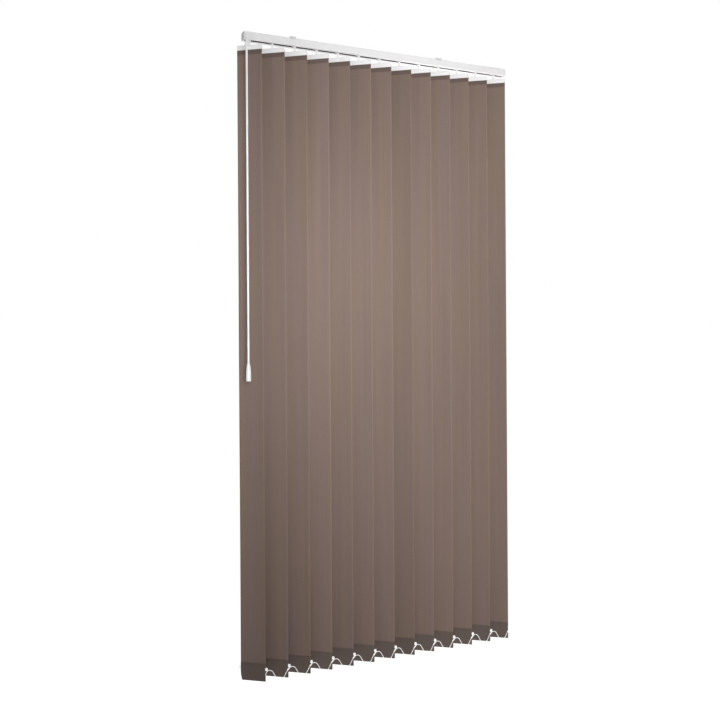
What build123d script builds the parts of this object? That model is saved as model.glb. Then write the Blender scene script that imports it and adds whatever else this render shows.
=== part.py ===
from build123d import *
import math
import os

# Vertical blind with thirteen fabric vanes on a ceiling-fixed track.
# Millimetres. +X runs along the track to the viewer's right, +Y away from the room, +Z up.
# The origin lies on the ceiling, midway between the two ceiling clips.

# Layout
vane_count = 13
vane_pitch = 82.0
vane_width = 89.0
total_drop = 2216.5
rest_turn = -37.0

# Ceiling clips
clip_spacing = 580.0
clip_to_first_stem = 152.0
clip_length = 20.0
clip_sheet = 1.2
clip_gap = 3.5
clip_hook_depth = 0.6
clip_screw_r = 2.25

# Track
rail_depth = 36.0
rail_height = 26.0
rail_wall = 1.5
rail_top_round = 2.5
rail_foot_round = 1.5
rail_slot = 13.0
rail_curb = 1.2
rail_curb_rise = 1.5
rail_groove_down = 3.0
rail_groove_height = 1.8
rail_groove_depth = 0.8
rail_before_first_stem = 23.0
rail_after_last_stem = 43.0

# End caps
cap_thickness = 4.0
cap_overhang = 0.8
cap_round = 7.0
cap_edge = 0.8
cap_plug_length = 8.0
cap_plug_wall = 2.0
cap_boss_r = 4.5

# Clearances
slip = 0.3
turning_clearance = 0.07
plug_clearance = 0.15

# Tilt rod and the worm that rides on it
rod_corner_r = 2.2
rod_behind_stem = 8.0
rod_end_play = 0.5
worm_r = 3.0
worm_length = 10.0

# Carriers
carrier_length = 16.0
carrier_width = 26.6
carrier_shoulder = 3.0
carrier_top_gap = 2.0
carrier_foot_gap = 0.5
wheel_r = 4.2
wheel_width = 2.4
nose_r = 4.6
nose_chamfer = 0.9
nose_below_rail = 4.5
link_lanes = 6
link_lane_pitch = 1.1
link_sheet = 0.6
link_height = 4.0
link_overlap = 3.0
link_channel_depth = 5.0
link_foot_inset = 1.0

# Hangers
stem_r = 2.2
stem_wheel_r = 4.6
stem_wheel_height = 5.0
stem_wheel_teeth = 12
stem_tooth_depth = 0.9
hanger_gap = 14.3
hanger_height = 16.5
hanger_thickness = 3.2
hanger_inset = 0.3
hanger_step = 0.3
hanger_step_up = 6.6
hanger_groove = 1.0
hanger_groove_depth = 0.4
hanger_groove_up = 13.6
hanger_edge = 0.4
hanger_lug_width = 12.0
hanger_lug_height = 3.0
hanger_lug_slope = 55.0
hanger_lug_inset = 0.9
hanger_lug_sink = 1.0
hanger_slot_depth = 9.5
hanger_slot_clearance = 0.2

# Fabric vanes
fabric = 0.5
hem_below_hanger = 10.0
hem_end_gap = 0.5
pocket_height = 61.0
pocket_cavity = 2.2
pocket_taper = 5.0

# Bottom weights and their chain clips
weight_thickness = 1.6
weight_inset = 2.5
weight_height = 45.0
weight_corner = 5.0
clip_height = 42.0
clip_arm_height = 4.0
clip_knob_r = 1.7
clip_knob_length = 7.0
clip_knob_below_arm = 0.5
clip_beyond_edge = 6.0

# Bead chains
chain_diameter = 3.0
chain_lift = 0.3
chain_tail_run = 2.0
chain_tail_drop = 16.0
crest_before_knob = 4.0
crest_after_knob = 16.0
last_crest_after_knob = 8.0
leg_run = 10.5
leg_drop = 19.0
loop_run = 20.5
loop_drop = 36.0
bend_share = 0.45

# Wand
wand_left_of_stem = 24.3
wand_before_stem = 48.0
arm_width = 6.0
arm_thickness = 4.0
arm_below_rail = 3.5
ear_gap = 4.4
ear_thickness = 2.0
ear_width = 6.0
swing_pin_r = 1.5
swing_pin_below_arm = 4.0
tongue_thickness = 4.0
connector_r = 5.2
connector_top = 7.0
connector_length = 14.0
connector_wall = 1.0
connector_lip = 2.0
wand_r = 3.5
wand_flange = 0.6
wand_flange_height = 2.0
grip_top_below_pin = 1087.5
grip_length = 62.0
grip_top_r = 4.2
grip_foot_r = 8.5
grip_hollow_r = 5.2
grip_hollow_depth = 16.0
grip_step = 1.5
grip_shoulder_r = 7.3
grip_shoulder_down = 18.0
grip_edge = 0.6

# Places worked out from the sizes above
first_stem_x = -clip_spacing / 2 - clip_to_first_stem
last_stem_x = first_stem_x + (vane_count - 1) * vane_pitch
rail_left = first_stem_x - rail_before_first_stem
rail_right = last_stem_x + rail_after_last_stem
rail_top = -clip_gap
rail_foot = rail_top - rail_height
rail_middle = (rail_top + rail_foot) / 2
lip_top = rail_foot + rail_wall
curb_top = lip_top + rail_curb_rise
inner_top = rail_top - rail_wall
inner_depth = rail_depth - 2 * rail_wall
rod_z = rail_middle
carrier_top = inner_top - carrier_top_gap
carrier_foot = curb_top + carrier_foot_gap
wheel_z = lip_top + slip + wheel_r
nose_foot = rail_foot - nose_below_rail
hanger_top = rail_foot - hanger_gap
hanger_foot = hanger_top - hanger_height
hanger_width = vane_width - 2 * hanger_inset
stem_wheel_foot = rod_z - stem_wheel_height / 2
vane_foot = -total_drop
pocket_top = vane_foot + pocket_height
pocket_thickness = pocket_cavity + 2 * fabric
clip_z = vane_foot + clip_height
weight_width = vane_width - 2 * weight_inset
clip_reach = vane_width / 2 + clip_beyond_edge
knob_foot = clip_z - clip_arm_height / 2 - clip_knob_below_arm
chain_z = knob_foot - slip - chain_diameter / 2 + chain_lift
arm_top = rail_foot - arm_below_rail
arm_foot = arm_top - arm_thickness
pin_z = arm_foot - swing_pin_below_arm
wand_x = first_stem_x - wand_left_of_stem
wand_y = -wand_before_stem


def stem_x(number):
    return first_stem_x + (number - 1) * vane_pitch


def block(x_low, x_high, y_low, y_high, z_low, z_high):
    """A box given by its faces."""
    shape = Box(x_high - x_low, y_high - y_low, z_high - z_low)
    return Pos((x_low + x_high) / 2, (y_low + y_high) / 2, (z_low + z_high) / 2) * shape


def upright(x, y, z_low, z_high, radius):
    """A round bar along Z."""
    return Pos(x, y, (z_low + z_high) / 2) * Cylinder(radius, z_high - z_low)


def along_x(x_low, x_high, y, z, radius):
    """A round bar along X."""
    shape = Rot(0, 90, 0) * Cylinder(radius, x_high - x_low)
    return Pos((x_low + x_high) / 2, y, z) * shape


def along_y(x, y_low, y_high, z, radius):
    """A round bar along Y."""
    shape = Rot(90, 0, 0) * Cylinder(radius, y_high - y_low)
    return Pos(x, (y_low + y_high) / 2, z) * shape


def section(points, x_low, x_high):
    """A straight piece along X whose outline in the YZ plane has these corners."""
    face = make_face(Polyline(*[(x_low, y, z) for y, z in points], close=True))
    return extrude(face, amount=x_high - x_low, dir=(1, 0, 0))


def rounded_bar(x_low, x_high, depth, z_low, z_high, top_round, foot_round):
    """A bar along X with rounded long edges."""
    bar = block(x_low, x_high, -depth / 2, depth / 2, z_low, z_high)
    edges = bar.edges().filter_by(Axis.X).group_by(Axis.Z)
    bar = fillet(edges[-1], top_round)
    edges = bar.edges().filter_by(Axis.X).filter_by_position(Axis.Z, z_low, z_low)
    return fillet(edges, foot_round)


def make_headrail():
    """The extruded track: a slotted channel with curbs for the wheels and grooves for the clips."""
    low = rail_left + cap_thickness
    high = rail_right - cap_thickness
    rail = rounded_bar(low, high, rail_depth, rail_foot, rail_top, rail_top_round, rail_foot_round)
    inner_round = rail_top_round - rail_wall
    half = inner_depth / 2
    cavity = block(low, high, -half, half, lip_top, inner_top)
    cavity = fillet(cavity.edges().filter_by(Axis.X).group_by(Axis.Z)[-1], inner_round)
    rail -= cavity
    rail -= block(low, high, -rail_slot / 2, rail_slot / 2, rail_foot, lip_top)
    groove_top = rail_top - rail_groove_down
    for side in (-1, 1):
        near = side * rail_slot / 2
        far = side * (rail_slot / 2 + rail_curb)
        rail += block(low, high, min(near, far), max(near, far), rail_foot, curb_top)
        near = side * (rail_depth / 2 - rail_groove_depth)
        far = side * rail_depth / 2
        rail -= block(low, high, min(near, far), max(near, far), groove_top - rail_groove_height, groove_top)
    return rail


def make_end_cap(outer_x, inward):
    """A moulded cover with a hollow plug and a bearing for the tilt rod."""
    inner_x = outer_x + inward * cap_thickness
    plug_x = inner_x + inward * cap_plug_length
    cap = rounded_bar(
        min(outer_x, inner_x),
        max(outer_x, inner_x),
        rail_depth + 2 * cap_overhang,
        rail_foot - cap_overhang,
        rail_top + cap_overhang,
        cap_round,
        cap_round,
    )
    outside = cap.faces().sort_by(Axis.X)[0 if inward > 0 else -1]
    cap = chamfer(outside.edges(), cap_edge)
    half = inner_depth / 2 - plug_clearance
    foot = curb_top + slip
    top = inner_top - plug_clearance - rail_top_round + rail_wall
    low, high = min(inner_x, plug_x), max(inner_x, plug_x)
    plug = block(low, high, -half, half, foot, top)
    wall = cap_plug_wall
    plug -= block(low, high, wall - half, half - wall, foot + wall, top - wall)
    boss = along_x(low, high, rod_behind_stem, rod_z, cap_boss_r)
    bore = along_x(low, high, rod_behind_stem, rod_z, rod_corner_r + turning_clearance)
    return cap + plug + boss - bore


def make_mounting_clip(x):
    """A bent sheet clip that hooks into the grooves on both sides of the track."""
    outer = rail_depth / 2 + slip / 2 + clip_sheet
    inner = outer - clip_sheet
    hook_top = rail_top - rail_groove_down - slip
    hook_foot = hook_top - clip_sheet
    toe = rail_depth / 2 - clip_hook_depth
    outline = [
        (-outer, 0),
        (outer, 0),
        (outer, hook_foot),
        (toe, hook_foot),
        (toe, hook_top),
        (inner, hook_top),
        (inner, -clip_sheet),
        (-inner, -clip_sheet),
        (-inner, hook_top),
        (-toe, hook_top),
        (-toe, hook_foot),
        (-outer, hook_foot),
    ]
    clip = section(outline, x - clip_length / 2, x + clip_length / 2)
    clip -= upright(x, 0, -clip_sheet, 0, clip_screw_r)
    return clip


def make_tilt_rod():
    """The hexagonal rod that turns every worm."""
    low = rail_left + cap_thickness + rod_end_play
    high = rail_right - cap_thickness - rod_end_play
    outline = Plane.YZ * RegularPolygon(rod_corner_r, 6)
    rod = extrude(outline, amount=high - low, dir=(1, 0, 0))
    return Pos(low, rod_behind_stem, rod_z) * rod


def lane_y(number):
    """Each link strip has its own lane beside the stem, so stacked links pass one another."""
    first = stem_wheel_r + slip + 2 * link_sheet
    return -first - (number % link_lanes) * link_lane_pitch


def make_wand_arm():
    """The arm of the leading carrier, with a fork for the wand's swing pin."""
    reach = math.hypot(wand_left_of_stem, wand_before_stem)
    turn = math.degrees(math.atan2(-wand_before_stem, -wand_left_of_stem))
    fork_half = ear_gap / 2 + ear_thickness
    bar = block(0, reach, -arm_width / 2, arm_width / 2, arm_foot, arm_top)
    arm = Rot(0, 0, turn) * bar
    spot_x, spot_y = -wand_left_of_stem, -wand_before_stem
    back, front = spot_y + ear_width / 2, spot_y - ear_width / 2
    arm += block(spot_x - fork_half, spot_x + fork_half, front, back, arm_foot, arm_top)
    ear_foot = pin_z - ear_width / 2
    for side in (-1, 1):
        near = spot_x + side * ear_gap / 2
        far = spot_x + side * fork_half
        low, high = min(near, far), max(near, far)
        ear = block(low, high, front, back, pin_z, arm_foot)
        ear += along_x(low, high, spot_y, pin_z, pin_z - ear_foot)
        arm += ear
    arm += along_x(spot_x - fork_half, spot_x + fork_half, spot_y, pin_z, swing_pin_r)
    return arm + upright(0, 0, arm_foot, nose_foot + nose_chamfer, nose_r)


def make_carrier(number):
    """A truck with two wheels, a bearing for the stem, a worm and a link strip."""
    half_x = carrier_length / 2
    half_y = carrier_width / 2
    outline = [
        (-half_y, carrier_foot),
        (half_y, carrier_foot),
        (half_y, carrier_top - carrier_shoulder),
        (half_y - carrier_shoulder, carrier_top),
        (-half_y, carrier_top),
    ]
    body = section(outline, -half_x, half_x)
    for side in (-1, 1):
        near, far = side * half_y, side * (half_y + wheel_width)
        body += along_y(0, min(near, far), max(near, far), wheel_z, wheel_r)
    nose = upright(0, 0, nose_foot, carrier_foot, nose_r)
    body += chamfer(nose.edges().group_by(Axis.Z)[0], nose_chamfer)
    if number == 1:
        body += make_wand_arm()
    body -= upright(0, 0, stem_wheel_foot - slip, carrier_top, stem_wheel_r + 2 * slip)
    body -= upright(0, 0, arm_foot, stem_wheel_foot, stem_r + turning_clearance)
    body -= along_x(-half_x, half_x, rod_behind_stem, rod_z, worm_r + slip)
    channel_foot = carrier_top - link_channel_depth
    first_lane, last_lane = lane_y(0), lane_y(link_lanes - 1)
    beside = link_lane_pitch - link_sheet / 2 - slip / 2
    body -= block(-half_x, half_x, last_lane - beside, first_lane + beside, channel_foot, carrier_top)
    if number > 1:
        body += make_link(number, channel_foot)
    worm = along_x(-worm_length / 2, worm_length / 2, rod_behind_stem, rod_z, worm_r)
    worm -= along_x(-half_x, half_x, rod_behind_stem, rod_z, rod_corner_r + turning_clearance)
    return Pos(stem_x(number), 0, 0) * Compound(children=[body, worm])


def make_link(number, channel_foot):
    """The strip that keeps this carrier within one pitch of the one on its left."""
    lane = lane_y(number)
    half_x = carrier_length / 2
    low_y, high_y = lane - link_sheet / 2, lane + link_sheet / 2
    strip_foot = channel_foot + link_sheet
    reach = vane_pitch + half_x + link_overlap
    strip = block(-reach, half_x, low_y, high_y, strip_foot, strip_foot + link_height)
    foot_half = half_x - link_foot_inset
    foot = block(-foot_half, foot_half, low_y, high_y, channel_foot - link_sheet, strip_foot)
    return strip + foot


def make_stem_wheel():
    """The small toothed wheel that the worm turns."""
    corners = []
    root_r = stem_wheel_r - stem_tooth_depth
    for step in range(2 * stem_wheel_teeth):
        radius = stem_wheel_r if step % 2 else root_r
        angle = math.pi * step / stem_wheel_teeth
        corners.append((radius * math.cos(angle), radius * math.sin(angle), stem_wheel_foot))
    face = make_face(Polyline(*corners, close=True))
    return extrude(face, amount=stem_wheel_height, dir=(0, 0, 1))


def make_hanger(number):
    """The toothed stem and the stepped bar that grips the top of a vane."""
    half = hanger_thickness / 2
    upper = half - hanger_step
    step_z = hanger_foot + hanger_step_up
    groove_z = hanger_foot + hanger_groove_up
    slot = fabric + hanger_slot_clearance
    slot_top = hanger_foot + hanger_slot_depth
    face = [
        (half - hanger_edge, hanger_foot),
        (half, hanger_foot + hanger_edge),
        (half, step_z - hanger_edge),
        (half - hanger_edge, step_z),
        (upper - hanger_groove_depth, step_z),
        (upper - hanger_groove_depth, step_z + hanger_groove),
        (upper, step_z + hanger_groove),
        (upper, groove_z),
        (upper - hanger_groove_depth, groove_z),
        (upper - hanger_groove_depth, groove_z + hanger_groove),
        (upper, groove_z + hanger_groove),
        (upper, hanger_top - hanger_edge),
        (upper - hanger_edge, hanger_top),
    ]
    back = [(-y, z) for y, z in reversed(face)]
    mouth = [(-slot, hanger_foot), (-slot, slot_top), (slot, slot_top), (slot, hanger_foot)]
    bar = section(face + back + mouth, -hanger_width / 2, hanger_width / 2)
    lug = Trapezoid(hanger_lug_width, hanger_lug_height + hanger_lug_sink, hanger_lug_slope)
    lug = extrude(Plane.XZ * lug, amount=upper - hanger_lug_inset / 2, both=True)
    bar += Pos(0, 0, hanger_top + (hanger_lug_height - hanger_lug_sink) / 2) * lug
    stem = upright(0, 0, hanger_top, stem_wheel_foot, stem_r)
    return place_on_stem(bar + stem + make_stem_wheel(), number)


def make_vane(number):
    """One strip of fabric with a double top hem and an open pocket along its foot."""
    half = fabric / 2
    hem_foot = hanger_foot - hem_below_hanger
    hem_top = hanger_foot + hanger_slot_depth - hem_end_gap
    outer = pocket_thickness / 2
    cavity = pocket_cavity / 2
    taper_foot = pocket_top - pocket_taper
    right = [
        (outer, vane_foot),
        (outer, taper_foot),
        (half, pocket_top),
        (half, hem_foot),
        (fabric, hem_foot),
        (fabric, hem_top),
    ]
    left = [(-y, z) for y, z in reversed(right)]
    vane = section(right + left, -vane_width / 2, vane_width / 2)
    hollow = [
        (-cavity, vane_foot + fabric),
        (cavity, vane_foot + fabric),
        (cavity, taper_foot),
        (0, pocket_top - fabric),
        (-cavity, taper_foot),
    ]
    vane -= section(hollow, -vane_width / 2, vane_width / 2)
    return place_on_stem(vane, number)


def make_weight(number):
    """The plate in the pocket, with an arm and a chain knob past each edge of the vane."""
    half = weight_thickness / 2
    foot = vane_foot + fabric + slip
    plate = block(-weight_width / 2, weight_width / 2, -half, half, foot, foot + weight_height)
    plate = chamfer(plate.edges().filter_by(Axis.Y), weight_corner)
    arm_half = clip_arm_height / 2
    plate += block(-clip_reach, clip_reach, -half, half, clip_z - arm_half, clip_z + arm_half)
    for x in (-clip_reach, clip_reach):
        plate += upright(x, 0, knob_foot, knob_foot + clip_knob_length, clip_knob_r)
    return place_on_stem(plate, number)


def place_on_stem(shape, number):
    return Pos(stem_x(number), 0, 0) * Rot(0, 0, rest_turn) * shape


def chain_route(side):
    """One chain's points: a tail, a crest beside each knob, a loop between knobs, and a tail."""
    angle = math.radians(rest_turn)
    knob_x = side * clip_reach * math.cos(angle)
    knob_y = side * clip_reach * math.sin(angle)
    loop = [
        (crest_after_knob, 0),
        (crest_after_knob + leg_run, -leg_drop),
        (crest_after_knob + loop_run, -loop_drop),
        (vane_pitch - crest_before_knob - loop_run, -loop_drop),
        (vane_pitch - crest_before_knob - leg_run, -leg_drop),
        (vane_pitch - crest_before_knob, 0),
    ]
    first = stem_x(1) + knob_x - crest_before_knob
    last = last_stem_x + knob_x + last_crest_after_knob
    points = [(first - chain_tail_run, knob_y, chain_z - chain_tail_drop), (first, knob_y, chain_z)]
    for number in range(1, vane_count):
        start = stem_x(number) + knob_x
        points += [(start + x, knob_y, chain_z + z) for x, z in loop]
    points += [(last, knob_y, chain_z), (last + chain_tail_run, knob_y, chain_z - chain_tail_drop)]
    return points


def bend_radii(points):
    """The largest arc that each corner of a route leaves room for."""
    radii = []
    for before, here, after in zip(points, points[1:], points[2:]):
        first = Vector(*here) - Vector(*before)
        second = Vector(*after) - Vector(*here)
        turn = math.radians(first.get_angle(second))
        shorter = min(first.length, second.length)
        radii.append(bend_share * shorter / math.tan(turn / 2))
    return radii


def make_chain(side):
    """One link chain along the feet of all the vanes, as a plain tube."""
    points = chain_route(side)
    radii = bend_radii(points)
    path = FilletPolyline(*points, radius=radii)
    start = Plane(origin=path @ 0, z_dir=path % 0)
    chain = sweep(start * Circle(chain_diameter / 2), path=path)
    section_area = math.pi * chain_diameter**2 / 4
    share = chain.volume / (section_area * path.length)
    print("chain length", round(path.length, 1), "volume over section times length", round(share, 4))
    print("chain bend radii", sorted({round(radius, 1) for radius in radii}))
    return chain


def make_wand_connector():
    """The sleeve that hangs on the arm's pin and holds the wand's head."""
    top = pin_z - connector_top
    foot = top - connector_length
    sleeve = upright(wand_x, wand_y, foot, top, connector_r)
    lip_z = foot + connector_lip
    sleeve -= upright(wand_x, wand_y, lip_z, top - connector_wall, wand_r + wand_flange + slip / 2)
    sleeve -= upright(wand_x, wand_y, foot, lip_z, wand_r + turning_clearance)
    half = tongue_thickness / 2
    width = ear_width / 2
    low, high = wand_x - half, wand_x + half
    sleeve += block(low, high, wand_y - width, wand_y + width, top - connector_wall / 2, pin_z)
    sleeve += along_x(low, high, wand_y, pin_z, width)
    return sleeve - along_x(low, high, wand_y, pin_z, swing_pin_r + turning_clearance)


def make_wand():
    """A round rod with a head in the connector and a flared, hollow grip at its foot."""
    lip_z = pin_z - connector_top - connector_length + connector_lip
    head_foot = lip_z + slip
    grip_top = pin_z - grip_top_below_pin
    grip_foot = grip_top - grip_length
    rod = upright(wand_x, wand_y, grip_top - grip_step, head_foot + wand_flange_height, wand_r)
    rod += upright(wand_x, wand_y, head_foot, head_foot + wand_flange_height, wand_r + wand_flange)
    side_top = (grip_top_r, 0, grip_top - grip_step)
    side_middle = (grip_shoulder_r, 0, grip_top - grip_shoulder_down)
    side_foot = (grip_foot_r, 0, grip_foot + grip_step)
    side = Spline(side_top, side_middle, side_foot, tangents=[(0.35, 0, -1), (0, 0, -1)])
    above = Polyline((0, 0, grip_top), (grip_top_r - grip_edge, 0, grip_top), side_top)
    below = Polyline(
        side_foot,
        (grip_foot_r - grip_edge, 0, grip_foot),
        (grip_hollow_r, 0, grip_foot),
        (grip_hollow_r, 0, grip_foot + grip_hollow_depth),
        (0, 0, grip_foot + grip_hollow_depth),
        (0, 0, grip_top),
    )
    face = make_face([above, side, below])
    grip = Pos(wand_x, wand_y, 0) * revolve(face, axis=Axis.Z)
    return rod + grip


def build_all():
    clip_x = clip_spacing / 2
    shapes = {
        "headrail": make_headrail(),
        "end_caps": Compound(children=[make_end_cap(rail_left, 1), make_end_cap(rail_right, -1)]),
        "mounting_clips": Compound(children=[make_mounting_clip(-clip_x), make_mounting_clip(clip_x)]),
        "tilt_rod": make_tilt_rod(),
        "chain_front": make_chain(1),
        "chain_rear": make_chain(-1),
        "wand_connector": make_wand_connector(),
        "wand": make_wand(),
    }
    for number in range(1, vane_count + 1):
        shapes[f"carrier_{number:02d}"] = make_carrier(number)
        shapes[f"hanger_{number:02d}"] = make_hanger(number)
        shapes[f"vane_{number:02d}"] = make_vane(number)
        shapes[f"weight_{number:02d}"] = make_weight(number)
    return shapes


os.makedirs("parts", exist_ok=True)
for node, shape in build_all().items():
    export_step(shape, f"parts/{node}.step")
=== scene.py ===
import math

import bmesh
import bpy
from mathutils import Matrix, Vector, noise


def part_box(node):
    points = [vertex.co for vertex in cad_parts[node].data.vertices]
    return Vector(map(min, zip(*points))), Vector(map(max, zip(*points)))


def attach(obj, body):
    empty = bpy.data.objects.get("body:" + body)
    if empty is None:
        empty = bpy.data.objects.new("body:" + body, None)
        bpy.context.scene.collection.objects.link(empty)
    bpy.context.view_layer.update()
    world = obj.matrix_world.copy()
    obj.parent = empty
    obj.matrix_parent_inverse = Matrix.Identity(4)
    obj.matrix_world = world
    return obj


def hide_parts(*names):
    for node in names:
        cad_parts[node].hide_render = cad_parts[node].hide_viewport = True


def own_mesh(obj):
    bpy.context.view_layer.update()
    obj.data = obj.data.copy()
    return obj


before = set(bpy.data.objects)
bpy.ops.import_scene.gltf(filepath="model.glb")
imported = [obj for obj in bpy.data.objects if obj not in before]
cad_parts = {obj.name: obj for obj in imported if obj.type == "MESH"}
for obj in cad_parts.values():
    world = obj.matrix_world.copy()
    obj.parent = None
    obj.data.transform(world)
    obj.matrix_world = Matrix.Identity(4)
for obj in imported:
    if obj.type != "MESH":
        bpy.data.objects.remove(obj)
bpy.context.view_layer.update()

# Vertical blind: fabric vanes, their pockets and weights, bead chains and finishes, in metres.

# Vanes
vane_count = 13
vane_pitch = 0.082
vane_width = 0.089
vane_turn = math.radians(-37.0)
vane_columns = 14
face_rows = 44
cloth = 0.0005
layer_gap = 0.00004
hem_below_hanger = 0.016
hem_end_gap = 0.0008
hem_row_above_foot = 0.004
hem_step = 0.002
hanger_slot_depth = 0.0095
pocket_height = 0.061
pocket_depth = 0.0032
pocket_shoulder = 0.006
pocket_rows = 10
fold_steps = 6
seam_step = 0.0015
corner_pull = 0.005
corner_height = 0.034
cup_depth = 0.0026
wave_depth = 0.0012
sway_below_hanger = 0.03
sway_fade_above = 0.25
sway_fade_below = 0.12

# Cloth tones: each strip is cut from its own place on the roll, and three were dyed apart. Each strip
# also carries a painted highlight along its edges, painted shade from its left to its right, and
# painted shade in the gaps between threads
# Painted highlight along both cut edges of each strip: its width and brightness
edge_highlight_width = 0.0022
edge_highlight_tone = 1.13
# Painted light on the left of each strip and painted shade on its right
left_painted_light, right_painted_shade = 1.06, 0.95
warm_hue = (1.02, 1.01, 0.92)
cool_hue = (0.99, 0.975, 1.07)
cut_spacing = 7.3
wave_spacing = 3.7
# Painted shade in the gaps between threads
thread_gap_shade = 0.80
strip_tones = {1: 0.94, 4: 1.08, 8: 0.90}

# Weights and chain clips
weight_thickness = 0.0016
weight_width = 0.084
weight_height = 0.045
weight_corner = 0.004
weight_clearance = 0.0002
arm_height = 0.004
arm_corner = 0.0005
arm_in_weight = 0.004
clip_height = 0.042
clip_reach = 0.0505
clip_width = 0.008
clip_depth = 0.0048
clip_rise = 0.0096
clip_corner = 0.0014
clip_inset = 0.0026
clip_below_seat = 0.0022
seat_below_arm = 0.0005

# Bead chains
chain_diameter = 0.003
bead_pitch = 0.0045
string_radius = 0.0006
chain_tail_run = 0.002
chain_tail_drop = 0.016
crest_before_clip = 0.004
crest_after_clip = 0.016
last_crest_after_clip = 0.008
leg_run = 0.0105
leg_drop = 0.019
loop_run = 0.0205
loop_drop = 0.036
link_radius = 0.0021
link_corner = 0.0008
link_before_clip = 0.0105

# Track: where painted shade darkens the inside of the channel
shade_above_foot = 0.0006
shade_below_top = 0.0008
shade_within_side = 0.0009
channel_shade_darkening = 0.9

floor_below_vanes = 0.35

# Places taken from the solids
rail_low, rail_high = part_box("headrail")
rail_foot, rail_top = rail_low[2], rail_high[2]
rail_middle = (rail_low[1] + rail_high[1]) / 2
rail_half_depth = (rail_high[1] - rail_low[1]) / 2
hanger_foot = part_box("hanger_01")[0][2]
vane_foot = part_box("vane_01")[0][2]
first_stem = sum(corner[0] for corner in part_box("hanger_01")) / 2
arm_z = vane_foot + clip_height
chain_seat = arm_z - arm_height / 2 - seat_below_arm
chain_z = chain_seat - chain_diameter / 2


def stem_x(number):
    return first_stem + (number - 1) * vane_pitch


def eased(share):
    """A share from 0 to 1, with a soft start and end."""
    return share * share * (3 - 2 * share)


# Objects


def new_piece(name, bm, *materials):
    """A mesh object from a finished bmesh, at the origin."""
    mesh = bpy.data.meshes.new(name)
    bm.to_mesh(mesh)
    bm.free()
    for material in materials:
        mesh.materials.append(material)
    piece = bpy.data.objects.new(name, mesh)
    bpy.context.collection.objects.link(piece)
    return piece


def hung_at(number):
    """The place of one vane: its stem, turned with the others."""
    return Matrix.Translation((stem_x(number), 0, 0)) @ Matrix.Rotation(vane_turn, 4, "Z")


def smooth(bm):
    for face in bm.faces:
        face.smooth = True


def edges_of(verts):
    """Every edge that meets these corners, once each."""
    return list(dict.fromkeys(edge for vert in verts for edge in vert.link_edges))


def round_edges(bm, edges, radius, segments=3):
    bmesh.ops.bevel(
        bm, geom=edges, offset=radius, segments=segments, profile=0.5, affect="EDGES", material=-1
    )


def add_block(bm, length, depth, height, middle):
    """A box about its middle; gives back its edges."""
    sizes = Matrix.Diagonal((length, depth, height, 1))
    made = bmesh.ops.create_cube(bm, size=1.0, matrix=Matrix.Translation(middle) @ sizes)
    return edges_of(made["verts"])


# Node helpers


def new_material(name):
    """A material, its node tree and its main shader."""
    material = bpy.data.materials.new(name)
    material.use_nodes = True
    return material, material.node_tree, material.node_tree.nodes["Principled BSDF"]


def new_group(name, inputs, outputs):
    """A shader node group, what it is given and where its results go.

    Its sockets are (name, kind, default) in and (name, kind) out.
    """
    group = bpy.data.node_groups.new(name, "ShaderNodeTree")
    for label, kind, value in inputs:
        made = group.interface.new_socket(label, in_out="INPUT", socket_type=kind)
        if value is not None:
            made.default_value = value
    for label, kind in outputs:
        group.interface.new_socket(label, in_out="OUTPUT", socket_type=kind)
    given = group.nodes.new("NodeGroupInput").outputs
    return group, given, group.nodes.new("NodeGroupOutput")


def feed(tree, node, values):
    """Give a node its inputs by label: another node's output is linked, a plain value is set."""
    for label, value in values.items():
        if isinstance(value, bpy.types.NodeSocket):
            tree.links.new(value, node.inputs[label])
        else:
            node.inputs[label].default_value = value


def place_group(tree, group, values):
    """A shared effect placed in a material, with its own values; gives back its outputs."""
    node = tree.nodes.new("ShaderNodeGroup")
    node.node_tree = group
    feed(tree, node, values)
    return node.outputs


def maths(tree, operation, first, second=None):
    """A math node on sockets or plain numbers."""
    node = tree.nodes.new("ShaderNodeMath")
    node.operation = operation
    feed(tree, node, {0: first} if second is None else {0: first, 1: second})
    return node.outputs[0]


def product(tree, first, *others):
    """Sockets or plain numbers multiplied in turn."""
    for other in others:
        first = maths(tree, "MULTIPLY", first, other)
    return first


def split_place(tree, place):
    """A place's X, Y and Z."""
    node = tree.nodes.new("ShaderNodeSeparateXYZ")
    feed(tree, node, {0: place})
    return node.outputs["X"], node.outputs["Y"], node.outputs["Z"]


def noise_on(tree, place, scale, detail=3.0, roughness=0.55, seed=None):
    """A noise over a place; a seed makes it different for each strip."""
    node = tree.nodes.new("ShaderNodeTexNoise")
    if seed is not None:
        node.noise_dimensions = "4D"
        feed(tree, node, {"W": seed})
    feed(tree, node, {"Vector": place, "Scale": scale, "Detail": detail, "Roughness": roughness})
    return node.outputs["Fac"]


def stretched(tree, place, scale):
    """A place on which a pattern is drawn out where the scale is small."""
    node = tree.nodes.new("ShaderNodeMapping")
    feed(tree, node, {"Vector": place, "Scale": scale})
    return node.outputs["Vector"]


def streaks(tree, place, stretch, scale, seed):
    """Noise drawn out along or across a strip."""
    drawn_out = stretched(tree, place, stretch)
    return noise_on(tree, drawn_out, scale, detail=2.0, roughness=0.5, seed=seed)


def spread(tree, value, low, high, to_low, to_high):
    """A value's range carried over to another range."""
    node = tree.nodes.new("ShaderNodeMapRange")
    ranges = {"From Min": low, "From Max": high, "To Min": to_low, "To Max": to_high}
    feed(tree, node, {"Value": value, **ranges})
    return node.outputs["Result"]


def shade(tree, colour, factor):
    """A colour made lighter or darker by a factor that changes over the surface."""
    node = tree.nodes.new("ShaderNodeVectorMath")
    node.operation = "SCALE"
    feed(tree, node, {0: colour, "Scale": factor})
    return node.outputs["Vector"]


def vertex_value(tree, name):
    """A number that each corner of the mesh carries."""
    node = tree.nodes.new("ShaderNodeAttribute")
    node.attribute_name = name
    return node.outputs["Fac"]


def object_place(tree):
    return tree.nodes.new("ShaderNodeTexCoord").outputs["Object"]


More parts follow.
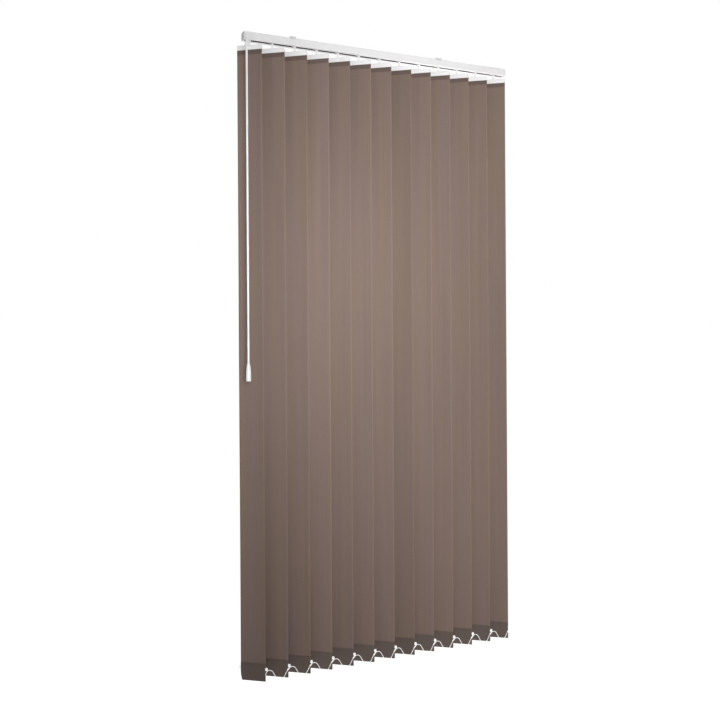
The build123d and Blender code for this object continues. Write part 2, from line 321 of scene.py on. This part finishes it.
def add_relief(tree, shader, height, strength, distance):
    """Fine relief from a height that changes over the surface."""
    bump = tree.nodes.new("ShaderNodeBump")
    feed(tree, bump, {"Height": height, "Strength": strength, "Distance": distance})
    feed(tree, shader, {"Normal": bump.outputs["Normal"]})


def tinted(colour, hue):
    """A colour pushed a little towards a hue."""
    return (*(part * share for part, share in zip(colour, hue)), 1)


# Shared effects


def make_weave_group():
    """Plain weave on a cloth's own map, in metres: thread height and a thread-by-thread tone."""
    inputs = [("Map", "NodeSocketVector", None), ("Thread", "NodeSocketFloat", 0.0006)]
    outputs = [("Height", "NodeSocketFloat"), ("Tone", "NodeSocketFloat")]
    group, given, made = new_group("plain_weave", inputs, outputs)
    x, y, _ = split_place(group, given["Map"])
    across = maths(group, "DIVIDE", x, given["Thread"])
    along = maths(group, "DIVIDE", y, given["Thread"])
    warp = maths(group, "SINE", product(group, across, math.pi))
    weft = maths(group, "SINE", product(group, along, math.pi))
    over = maths(group, "GREATER_THAN", product(group, warp, weft), 0.0)
    under = maths(group, "SUBTRACT", 1.0, over)
    warp_top = product(group, maths(group, "ABSOLUTE", warp), over)
    weft_top = product(group, maths(group, "ABSOLUTE", weft), under)
    thread = group.nodes.new("ShaderNodeTexWhiteNoise")
    thread.noise_dimensions = "1D"
    feed(group, thread, {"W": maths(group, "FLOOR", across)})
    height = maths(group, "ADD", warp_top, weft_top)
    feed(group, made, {"Height": height, "Tone": thread.outputs["Value"]})
    return group


def make_strip_group():
    """The look of one cut strip: broad upright bands, slubs, a painted highlight along the edges,
    painted shade from left to right, and warm or cool bands.
    """
    inputs = [("Map", "NodeSocketVector", None), ("Cut", "NodeSocketFloat", 0.0)]
    outputs = [("Tone", "NodeSocketFloat"), ("Warmth", "NodeSocketFloat")]
    group, given, made = new_group("cut_strip", inputs, outputs)
    place, cut = given["Map"], given["Cut"]
    bands = streaks(group, place, (1.0, 0.02, 1.0), 60.0, cut)
    slubs = streaks(group, place, (1.0, 0.05, 1.0), 650.0, cut)
    cross = streaks(group, place, (0.06, 1.0, 1.0), 500.0, cut)
    warmth = streaks(group, place, (1.0, 0.03, 1.0), 38.0, cut)
    x, _, _ = split_place(group, place)
    from_edge = maths(group, "MINIMUM", x, maths(group, "SUBTRACT", vane_width, x))
    tone = product(
        group,
        spread(group, bands, 0.25, 0.75, 0.955, 1.045),
        spread(group, slubs, 0.3, 0.7, 0.98, 1.02),
        spread(group, cross, 0.3, 0.7, 0.985, 1.015),
        # painted highlight along the cut edges
        spread(group, from_edge, edge_highlight_width, edge_highlight_width * 1.8, edge_highlight_tone, 1.0),
        # painted shade across the strip, lighter at the left, darker at the right
        spread(group, x, 0.0, vane_width, left_painted_light, right_painted_shade),
    )
    feed(group, made, {"Tone": tone, "Warmth": spread(group, warmth, 0.32, 0.68, 0.0, 1.0)})
    return group


def make_moulding_group():
    """The faint unevenness of moulded plastic or paint: a tone, a roughness and a height."""
    inputs = [("Place", "NodeSocketVector", None), ("Roughness", "NodeSocketFloat", 0.35)]
    outputs = [
        ("Tone", "NodeSocketFloat"),
        ("Roughness", "NodeSocketFloat"),
        ("Height", "NodeSocketFloat"),
    ]
    group, given, made = new_group("moulded_surface", inputs, outputs)
    place = given["Place"]
    broad = noise_on(group, place, 45.0, detail=2.0)
    patches = spread(group, noise_on(group, place, 220.0), 0.3, 0.7, -0.06, 0.06)
    feed(group, made, {
        "Tone": spread(group, broad, 0.3, 0.7, 0.965, 1.0),
        "Roughness": maths(group, "ADD", given["Roughness"], patches),
        "Height": noise_on(group, place, 900.0, detail=2.0),
    })
    return group


def make_fabric(name, colour):
    """Close-woven, stiffened polyester with upright slubs, a painted highlight along the cut edges
    and painted shade between the threads.
    """
    material, tree, shader = new_material(name)
    cloth_map = tree.nodes.new("ShaderNodeUVMap")
    cloth_map.uv_map = "cloth"
    place = cloth_map.outputs["UV"]
    weave = place_group(tree, weave_group, {"Map": place})
    strip = place_group(tree, strip_group, {"Map": place, "Cut": vertex_value(tree, "cut")})
    thread = spread(tree, weave["Tone"], 0.0, 1.0, 0.975, 1.025)
    dyed = product(tree, thread, vertex_value(tree, "dye"))
    # Painted shade where the weave dips between threads
    between = spread(tree, weave["Height"], 0.0, 1.0, thread_gap_shade, 1.0)
    tone = product(tree, strip["Tone"], dyed, between)
    hue = tree.nodes.new("ShaderNodeMix")
    hue.data_type = "RGBA"
    feed(tree, hue, {
        "Factor": strip["Warmth"],
        "A": tinted(colour, warm_hue),
        "B": tinted(colour, cool_hue),
    })
    feed(tree, shader, {
        "Base Color": shade(tree, hue.outputs["Result"], tone),
        "Roughness": 0.82,
        "Specular IOR Level": 0.3,
        "Sheen Weight": 0.08,
        "Sheen Roughness": 0.5,
    })
    add_relief(tree, shader, weave["Height"], strength=0.35, distance=0.0002)
    return material


def make_moulded(name, colour, roughness, coat=0.0, glow=0.0):
    """Moulded or painted white; glow is painted light that makes the small white mouldings shine
    though they are no lamp.
    """
    material, tree, shader = new_material(name)
    values = {"Place": object_place(tree), "Roughness": roughness}
    surface = place_group(tree, moulding_group, values)
    feed(tree, shader, {
        "Base Color": shade(tree, colour, surface["Tone"]),
        "Roughness": surface["Roughness"],
        "Coat Weight": coat,
        "Emission Color": (1, 1, 1, 1),
        "Emission Strength": glow,
    })
    add_relief(tree, shader, surface["Height"], strength=0.25, distance=0.00003)
    return material


def make_rail_paint(name, colour, roughness):
    """White paint outside; painted shade darkens the inside of the channel."""
    material = make_moulded(name, colour, roughness)
    tree = material.node_tree
    shader = tree.nodes["Principled BSDF"]
    painted = shader.inputs["Base Color"].links[0].from_socket
    _, y, z = split_place(tree, object_place(tree))
    depth = maths(tree, "ABSOLUTE", maths(tree, "SUBTRACT", y, rail_middle))
    # Painted shade over the inside of the channel, clear of its foot, top and sides
    channel_shade = product(
        tree,
        maths(tree, "GREATER_THAN", z, rail_foot + shade_above_foot),
        maths(tree, "LESS_THAN", z, rail_top - shade_below_top),
        maths(tree, "LESS_THAN", depth, rail_half_depth - shade_within_side),
    )
    tone = maths(tree, "SUBTRACT", 1.0, product(tree, channel_shade, channel_shade_darkening))
    feed(tree, shader, {"Base Color": shade(tree, painted, tone)})
    return material


def make_drawn_metal(name, colour):
    """Drawn aluminium with faint lines along the track."""
    material, tree, shader = new_material(name)
    drawn_out = stretched(tree, object_place(tree), (0.01, 1.0, 1.0))
    lines = noise_on(tree, drawn_out, 2500.0, detail=2.0)
    feed(tree, shader, {
        "Base Color": shade(tree, colour, spread(tree, lines, 0.3, 0.7, 0.9, 1.05)),
        "Roughness": spread(tree, lines, 0.3, 0.7, 0.28, 0.42),
        "Metallic": 1.0,
    })
    return material


weave_group = make_weave_group()
strip_group = make_strip_group()
moulding_group = make_moulding_group()
fabric = make_fabric("woven_taupe", (0.213, 0.154, 0.129))
# Darker copies of the same cloth for the double hem and the pocket: painted shade
shaded_hem_fabric = make_fabric("woven_taupe_hem_shaded", (0.143, 0.103, 0.090))
shaded_pocket_fabric = make_fabric("woven_taupe_pocket_shaded", (0.134, 0.104, 0.090))
rail_paint = make_rail_paint("rail_white", (0.80, 0.79, 0.80), 0.42)
cap_plastic = make_moulded("cap_white", (0.76, 0.755, 0.76), 0.45)
clip_paint = make_moulded("clip_white", (0.62, 0.61, 0.63), 0.4)
carrier_plastic = make_moulded("carrier_white", (0.88, 0.88, 0.88), 0.38)
hanger_plastic = make_moulded("hanger_white", (0.86, 0.85, 0.86), 0.32)
# The weights and bead chains glow a little: painted light
weight_plastic = make_moulded("weight_white", (0.90, 0.90, 0.89), 0.4, glow=0.35)
bead_plastic = make_moulded("bead_white", (0.90, 0.89, 0.88), 0.3, glow=0.35)
wand_plastic = make_moulded("wand_white", (0.88, 0.88, 0.88), 0.22, coat=0.4)
rod_metal = make_drawn_metal("rod_aluminium", (0.72, 0.72, 0.74))


# Vanes


def pocket_bulge(share):
    """Half the pocket's depth at a share of its height, from 0 at the fold to 1 at the seam."""
    shoulder = min(1.0, (1 - share) * pocket_height / pocket_shoulder)
    return max(cloth, (pocket_depth - cloth) / 2 * eased(shoulder))


def cloth_path():
    """The cloth's line from its hem edge, round the hem and pocket: (depth, z, part)."""
    face_part, hem_part, pocket_part = range(3)
    layer = cloth / 2 + layer_gap
    hem_foot = hanger_foot - hem_below_hanger
    hem_row = hem_foot + hem_row_above_foot
    hem_top = hanger_foot + hanger_slot_depth - hem_end_gap
    face_top = hem_foot - hem_step
    seam = vane_foot + pocket_height
    face_drop = seam + seam_step - face_top
    fold = (pocket_depth - cloth) / 2

    def pocket_row(side, share):
        z = vane_foot + fold + (pocket_height - fold) * share
        return side * pocket_bulge(share), z, pocket_part

    path = [(layer, z, hem_part) for z in (hem_foot, hem_row, hem_top - layer)]
    path.append((0, hem_top, hem_part))
    path += [(-layer, z, hem_part) for z in (hem_top - layer, hem_row, hem_foot)]
    path += [(0, face_top + face_drop * row / face_rows, face_part) for row in range(face_rows + 1)]
    path.append((-layer, seam, pocket_part))
    path += [pocket_row(-1, 1 - row / pocket_rows) for row in range(1, pocket_rows)]
    for step in range(fold_steps + 1):
        angle = math.pi * step / fold_steps
        foot_z = vane_foot + cloth / 2 + fold - fold * math.sin(angle)
        path.append((-fold * math.cos(angle), foot_z, pocket_part))
    path += [pocket_row(1, row / pocket_rows) for row in range(1, pocket_rows)]
    path.append((layer, seam, pocket_part))
    return path


def make_vane(number):
    """One strip of cloth: double hem, long face, and a pocket folded up at its foot."""
    bm = bmesh.new()
    path = cloth_path()
    row_layer = bm.verts.layers.int.new("row")
    line = [bm.verts.new((-vane_width / 2, depth, z)) for depth, z, _ in path]
    for row, vert in enumerate(line):
        vert[row_layer] = row
    edges = [bm.edges.new(pair) for pair in zip(line, line[1:])]
    step = Vector((vane_width / vane_columns, 0, 0))
    for _ in range(vane_columns):
        made = bmesh.ops.extrude_edge_only(bm, edges=edges)["geom"]
        moved = [part for part in made if isinstance(part, bmesh.types.BMVert)]
        bmesh.ops.translate(bm, vec=step, verts=moved)
        outer = [part for part in made if isinstance(part, bmesh.types.BMEdge) and part.is_boundary]
        edges = [edge for edge in outer if abs(edge.verts[0].co.x - edge.verts[1].co.x) < step.x / 2]
    bmesh.ops.recalc_face_normals(bm, faces=bm.faces)
    lay_cloth_map(bm, row_layer, path, number)
    for vert in bm.verts:
        vert.co.y += cloth_sway(vert.co, number)
        vert.co.x += corner_pulled_in(vert.co)
    smooth(bm)
    bm.transform(hung_at(number))
    vane = new_piece(f"fabric_vane_{number:02d}", bm, fabric, shaded_hem_fabric, shaded_pocket_fabric)
    wall = vane.modifiers.new("thickness", "SOLIDIFY")
    wall.thickness = cloth
    wall.offset = 0.0
    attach(vane, f"vane_{number:02d}")
    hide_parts(f"vane_{number:02d}")


def lay_cloth_map(bm, row_layer, path, number):
    """The cloth's map, across the strip and down it in metres, with each vane's own cut and dye."""
    layer = bm.loops.layers.uv.new("cloth")
    run = [0.0]
    for before, here in zip(path, path[1:]):
        run.append(run[-1] + math.hypot(here[0] - before[0], here[1] - before[1]))
    cut, dye = bm.verts.layers.float.new("cut"), bm.verts.layers.float.new("dye")
    for vert in bm.verts:
        vert[cut] = number * cut_spacing
        vert[dye] = strip_tones.get(number, 1.0)
    for face in bm.faces:
        rows = [vert[row_layer] for vert in face.verts]
        parts = [path[row][2] for row in rows]
        face.material_index = max(parts) if all(parts) else 0
        for loop, row in zip(face.loops, rows):
            loop[layer].uv = (loop.vert.co.x + vane_width / 2, run[row])


def corner_pulled_in(place):
    """How far the pocket's left edge draws in towards its lower corner."""
    low = max(0.0, 1 - (place.z - vane_foot) / corner_height)
    left = max(0.0, -place.x / (vane_width / 2)) ** 2
    return corner_pull * low * low * left


def cloth_sway(place, number):
    """How far a point of the long face leans out of flat: a slight cup and a slow wave."""
    top = hanger_foot - sway_below_hanger
    foot = vane_foot + pocket_height
    if place.z > top or place.z < foot:
        return 0.0
    inward = eased(min(1.0, (top - place.z) / sway_fade_above, (place.z - foot) / sway_fade_below))
    across = place.x / (vane_width / 2)
    cup = cup_depth * (1 - across * across) * inward
    wave = noise.noise(Vector((across * 0.6, place.z * 1.6, number * wave_spacing)))
    return cup + wave_depth * wave * inward


# Weights and their chain clips


def make_weight(number):
    """The plate in the pocket, its arms, and a moulded clip at the end of each arm."""
    bm = bmesh.new()
    foot = vane_foot + cloth * 1.5 + weight_clearance
    add_plate(bm, weight_width, weight_height, (0, 0, foot + weight_height / 2), weight_corner)
    arm_length = clip_reach - weight_width / 2 + arm_in_weight
    for side in (-1, 1):
        arm_x = side * (clip_reach - arm_length / 2)
        add_plate(bm, arm_length, arm_height, (arm_x, 0, arm_z), arm_corner)
        add_clip(bm, side)
    smooth(bm)
    bm.transform(hung_at(number))
    weight = new_piece(f"pocket_weight_{number:02d}", bm, weight_plastic)
    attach(weight, f"vane_{number:02d}")
    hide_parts(f"weight_{number:02d}")


def add_plate(bm, length, height, middle, corner):
    """A flat plate with its four corners rounded."""
    edges = add_block(bm, length, weight_thickness, height, middle)
    half = weight_thickness / 2
    through = [edge for edge in edges if abs(edge.verts[0].co.y - edge.verts[1].co.y) > half]
    round_edges(bm, through, corner)


def add_clip(bm, side):
    """The moulded clip at the end of an arm: a rounded block that reaches down over the chain."""
    middle = (side * (clip_reach - clip_inset), 0, chain_seat - clip_below_seat + clip_rise / 2)
    round_edges(bm, add_block(bm, clip_width, clip_depth, clip_rise, middle), clip_corner)


# Bead chains


def clip_place(side):
    """Where a vane's clip stands, seen from the vane's stem."""
    return side * clip_reach * math.cos(vane_turn), side * clip_reach * math.sin(vane_turn)


def chain_route(side):
    """One chain's points: a tail, a crest beside each clip, a loop between clips, and a tail."""
    clip_x, clip_y = clip_place(side)
    loop = [
        (crest_after_clip, 0),
        (crest_after_clip + leg_run, -leg_drop),
        (crest_after_clip + loop_run, -loop_drop),
        (vane_pitch - crest_before_clip - loop_run, -loop_drop),
        (vane_pitch - crest_before_clip - leg_run, -leg_drop),
        (vane_pitch - crest_before_clip, 0),
    ]
    first = stem_x(1) + clip_x - crest_before_clip
    last = stem_x(vane_count) + clip_x + last_crest_after_clip
    tail_z = chain_z - chain_tail_drop
    points = [(first - chain_tail_run, clip_y, tail_z), (first, clip_y, chain_z)]
    for number in range(1, vane_count):
        start = stem_x(number) + clip_x
        points += [(start + x, clip_y, chain_z + z) for x, z in loop]
    points += [(last, clip_y, chain_z), (last + chain_tail_run, clip_y, tail_z)]
    return points


def spline_through(name, points, radius=0.0):
    """A smooth open line drawn towards the route's points, with the radius of a string."""
    curve = bpy.data.curves.new(name, "CURVE")
    curve.dimensions = "3D"
    curve.resolution_u = 8
    curve.bevel_depth = radius
    curve.bevel_resolution = 1
    curve.use_fill_caps = True
    spline = curve.splines.new("NURBS")
    spline.points.add(len(points) - 1)
    for knot, place in zip(spline.points, points):
        knot.co = (*place, 1)
    spline.order_u = 3
    spline.use_endpoint_u = True
    line = bpy.data.objects.new(name, curve)
    mesh = bpy.data.meshes.new_from_object(line)
    bpy.data.objects.remove(line)
    return mesh


def even_places(points, pitch):
    """Points a fixed distance apart along a line, and the line's length."""
    places = []
    travelled, due = 0.0, pitch / 2
    for before, here in zip(points, points[1:]):
        length = (here - before).length
        while due <= travelled + length:
            places.append(before.lerp(here, (due - travelled) / length))
            due += pitch
        travelled += length
    return places, travelled


def add_beads(bm, places):
    """A round bead at each place."""
    bead = bmesh.new()
    bmesh.ops.create_uvsphere(bead, u_segments=8, v_segments=6, radius=chain_diameter / 2)
    for place in places:
        twins = {vert: bm.verts.new(vert.co + place) for vert in bead.verts}
        for face in bead.faces:
            bm.faces.new([twins[vert] for vert in face.verts])
    bead.free()


def add_link(bm, path, clip_x):
    """The moulded link that joins the string of beads to a clip, lying along the chain."""
    near = [place for place in path if clip_x - link_before_clip < place.x < clip_x]
    start, end = near[0], near[-1]
    along = end - start
    turned = Vector((0, 0, 1)).rotation_difference(along).to_matrix().to_4x4()
    made = bmesh.ops.create_cone(
        bm,
        cap_ends=True,
        segments=12,
        radius1=link_radius,
        radius2=link_radius,
        depth=along.length,
        matrix=Matrix.Translation((start + end) / 2) @ turned,
    )
    rims = [edge for edge in edges_of(made["verts"]) if edge.calc_length() < link_radius]
    round_edges(bm, rims, link_corner, segments=2)


def make_chain(name, side):
    """Round beads on a string, hung along one side of the vanes."""
    route = chain_route(side)
    line = spline_through(f"{name}_line", route)
    path = [vert.co.copy() for vert in line.vertices]
    beads, length = even_places(path, bead_pitch)
    bm = bmesh.new()
    bm.from_mesh(spline_through(f"{name}_string", route, string_radius))
    add_beads(bm, beads)
    smooth(bm)
    clip_x, clip_y = clip_place(side)
    for number in range(2, vane_count + 1):
        add_link(bm, path, stem_x(number) + clip_x)
    chain = new_piece(name, bm, bead_plastic)
    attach(chain, name)
    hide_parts(name)
    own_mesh(chain)


# Finishes of the pieces that keep their solid


def finish_solids():
    finishes = {
        "headrail": rail_paint,
        "end_caps": cap_plastic,
        "mounting_clips": clip_paint,
        "tilt_rod": rod_metal,
        "wand_connector": wand_plastic,
        "wand": wand_plastic,
    }
    for number in range(1, vane_count + 1):
        finishes[f"carrier_{number:02d}"] = carrier_plastic
        finishes[f"hanger_{number:02d}"] = hanger_plastic
    for node, finish in finishes.items():
        solid = bpy.data.objects[node]
        if not solid.material_slots:
            solid.data.materials.append(finish)
        for holder in solid.material_slots:
            holder.material = finish


# Camera, light and floor


def place_camera():
    """A level camera turned to the right, rolled by a third of a degree as the photograph is."""
    place = Vector((-1.298, -2.801, -1.0453))
    turn = math.radians(24.29)
    roll = math.radians(0.35)
    focal_pixels = 850.0
    picture = 720.0
    horizon_row = 336.8
    camera = bpy.data.cameras.new("camera")
    camera.sensor_width = 36.0
    camera.lens = focal_pixels / picture * camera.sensor_width
    camera.shift_y = (horizon_row - (picture - 1) / 2) / picture
    camera.clip_end = 100.0
    ahead = Vector((math.sin(turn), math.cos(turn), 0))
    right = Vector((math.cos(turn), -math.sin(turn), 0))
    up = Vector((0, 0, 1))
    axes = Matrix((
        math.cos(roll) * right - math.sin(roll) * up,
        math.sin(roll) * right + math.cos(roll) * up,
        -ahead,
    )).transposed().to_4x4()
    holder = bpy.data.objects.new("camera", camera)
    holder.matrix_world = Matrix.Translation(place) @ axes
    bpy.context.collection.objects.link(holder)
    bpy.context.scene.camera = holder


def place_spot(name, place, aim, angle, power, colour, stretch=1.0, size=0.5):
    """A soft round pool of light, made taller or wider by its stretch."""
    lamp = bpy.data.lights.new(name, "SPOT")
    lamp.spot_size = math.radians(angle)
    lamp.spot_blend = 1.0
    lamp.shadow_soft_size = size
    lamp.energy = power
    lamp.color = colour
    holder = bpy.data.objects.new(name, lamp)
    holder.location = place
    holder.rotation_euler = (Vector(aim) - Vector(place)).to_track_quat("-Z", "Y").to_euler()
    holder.scale = (1.0, stretch, 1.0)
    bpy.context.collection.objects.link(holder)


def light_blind():
    """A broad key lamp in front, pools on the foot, top, track and its end, one above, one behind."""
    place_spot(
        "key", place=(-0.75, -3.3, -0.6), aim=(0.02, 0.0, -0.8),
        angle=30, power=725, colour=(0.97, 1.0, 0.97), stretch=1.35, size=0.8,
    )
    place_spot(
        "low_fill", place=(-0.5, -3.0, -1.4), aim=(0.55, 0.0, -2.0),
        angle=32, power=143, colour=(1.0, 0.98, 0.96), stretch=1.1,
    )
    place_spot(
        "top_fill", place=(-0.6, -3.0, -0.6), aim=(0.86, 0.0, -0.12),
        angle=29, power=128, colour=(1.0, 0.99, 0.98),
    )
    place_spot(
        "rail_fill", place=(-0.6, -3.0, -0.3), aim=(0.46, 0.0, 0.04),
        angle=10, power=45, colour=(1.0, 0.99, 1.0),
    )
    place_spot(
        "end_fill", place=(-2.6, -1.2, -0.3), aim=(-0.44, 0.0, -0.01),
        angle=9, power=170, colour=(1.0, 0.98, 1.0),
    )
    place_spot(
        "overhead", place=(0.0, 0.0, 3.2), aim=(0.0, 0.0, 0.0),
        angle=34, power=420, colour=(1.0, 1.0, 1.0),
    )
    place_spot(
        "back_fill", place=(1.7, 2.4, -0.9), aim=(0.05, 0.0, -1.0),
        angle=48, power=170, colour=(1.0, 0.99, 0.98), stretch=1.3,
    )


def light_world(level, colour):
    """Even light, with a plain white background for the camera."""
    world = bpy.data.worlds.new("studio")
    bpy.context.scene.world = world
    world.use_nodes = True
    tree = world.node_tree
    soft = tree.nodes["Background"]
    feed(tree, soft, {"Strength": level, "Color": (*colour, 1)})
    seen = tree.nodes.new("ShaderNodeBackground")
    feed(tree, seen, {"Strength": 1.0, "Color": (1, 1, 1, 1)})
    rays = tree.nodes.new("ShaderNodeLightPath").outputs
    shown = maths(tree, "MAXIMUM", rays["Is Camera Ray"], rays["Is Transmission Ray"])
    mix = tree.nodes.new("ShaderNodeMixShader")
    feed(tree, mix, {0: shown, 1: soft.outputs["Background"], 2: seen.outputs["Background"]})
    feed(tree, tree.nodes["World Output"], {"Surface": mix.outputs["Shader"]})


def make_floor(height):
    """A pale floor well below the vanes: white to the camera, and a soft light from below."""
    half_side = 40.0
    glow = 0.77
    more_when_seen = 0.20
    bm = bmesh.new()
    middle = Matrix.Translation((0, 0, height))
    bmesh.ops.create_grid(bm, x_segments=1, y_segments=1, size=half_side, matrix=middle)
    material, tree, shader = new_material("pale_floor")
    rays = tree.nodes.new("ShaderNodeLightPath").outputs
    seen = maths(tree, "MULTIPLY", rays["Is Camera Ray"], more_when_seen)
    feed(tree, shader, {
        "Base Color": (0.3, 0.3, 0.3, 1),
        "Roughness": 0.9,
        "Specular IOR Level": 0.0,
        "Emission Color": (1, 1, 1, 1),
        "Emission Strength": maths(tree, "ADD", seen, glow),
    })
    floor = new_piece("floor", bm, material)


bpy.context.scene.view_settings.view_transform = "Standard"
place_camera()
light_world(0.135, (1.0, 0.90, 0.945))
light_blind()
make_floor(vane_foot - floor_below_vanes)
finish_solids()
for vane_number in range(1, vane_count + 1):
    make_vane(vane_number)
    make_weight(vane_number)
make_chain("chain_front", 1)
make_chain("chain_rear", -1)
